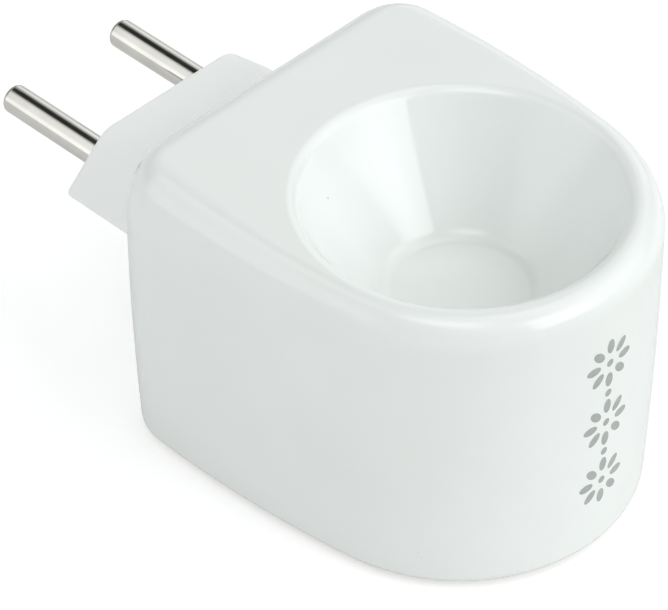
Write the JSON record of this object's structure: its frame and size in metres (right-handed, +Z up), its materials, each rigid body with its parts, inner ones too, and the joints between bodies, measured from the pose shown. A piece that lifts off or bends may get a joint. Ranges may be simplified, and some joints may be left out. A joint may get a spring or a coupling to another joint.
{
  "type": "wax melt warmer",
  "caption": "Small plug-in wax melt warmer: a glazed porcelain body with a conical bowl in its top and a two-pin plug standing out of its flat back.",
  "frame": {"origin": "centre of the overall box in plan, on the surface that the rubber feet stand on", "axes": "+Z up, +Y along the plug pins and out of the flat back, the rounded front with the bowl faces -Y, +X to the right seen from the front"},
  "size_m": [0.0528, 0.0956, 0.0442],
  "materials": {
    "porcelain": "smooth glossy clear glaze over white porcelain",
    "plug_plastic": "fine satin moulded white",
    "pin_metal": "satin nickel plate",
    "silicone": "matt translucent white silicone",
    "zinc_steel": "bright zinc plate",
    "cover_plastic": "fine spark-eroded texture",
    "pad_silicone": "soft matt grey-blue filled silicone",
    "spreader_aluminium": "as turned",
    "mica": "flaky amber sheet",
    "brass": "as stamped",
    "ptc_ceramic": "sintered dark grey",
    "steatite": "unglazed off-white",
    "stainless": "rolled strip",
    "glass_fibre": "braided white sleeve",
    "lead_insulation": "smooth white fluoropolymer"
  },
  "bodies": {
    "root": {"ceramic_body": "porcelain", "plug_body": "plug_plastic", "plug_pin_left": "pin_metal", "plug_pin_right": "pin_metal", "plug_gasket": "silicone", "plug_bracket": "zinc_steel", "base_cover": "cover_plastic", "base_screws": "zinc_steel", "boss_nut": "zinc_steel", "rubber_feet": "silicone", "thermal_pad": "pad_silicone", "heat_spreader": "spreader_aluminium", "mica_sheet": "mica", "electrode_upper": "brass", "ptc_disc": "ptc_ceramic", "electrode_lower": "brass", "heater_cup": "steatite", "leaf_spring": "stainless", "thermal_fuse": "stainless", "fuse_sleeve": "glass_fibre", "fuse_clip": "stainless", "pin_terminals": "brass", "lead_crimps": "brass", "lead_live": "lead_insulation", "lead_fused": "lead_insulation", "lead_neutral": "lead_insulation"}
  },
  "joints": []
}
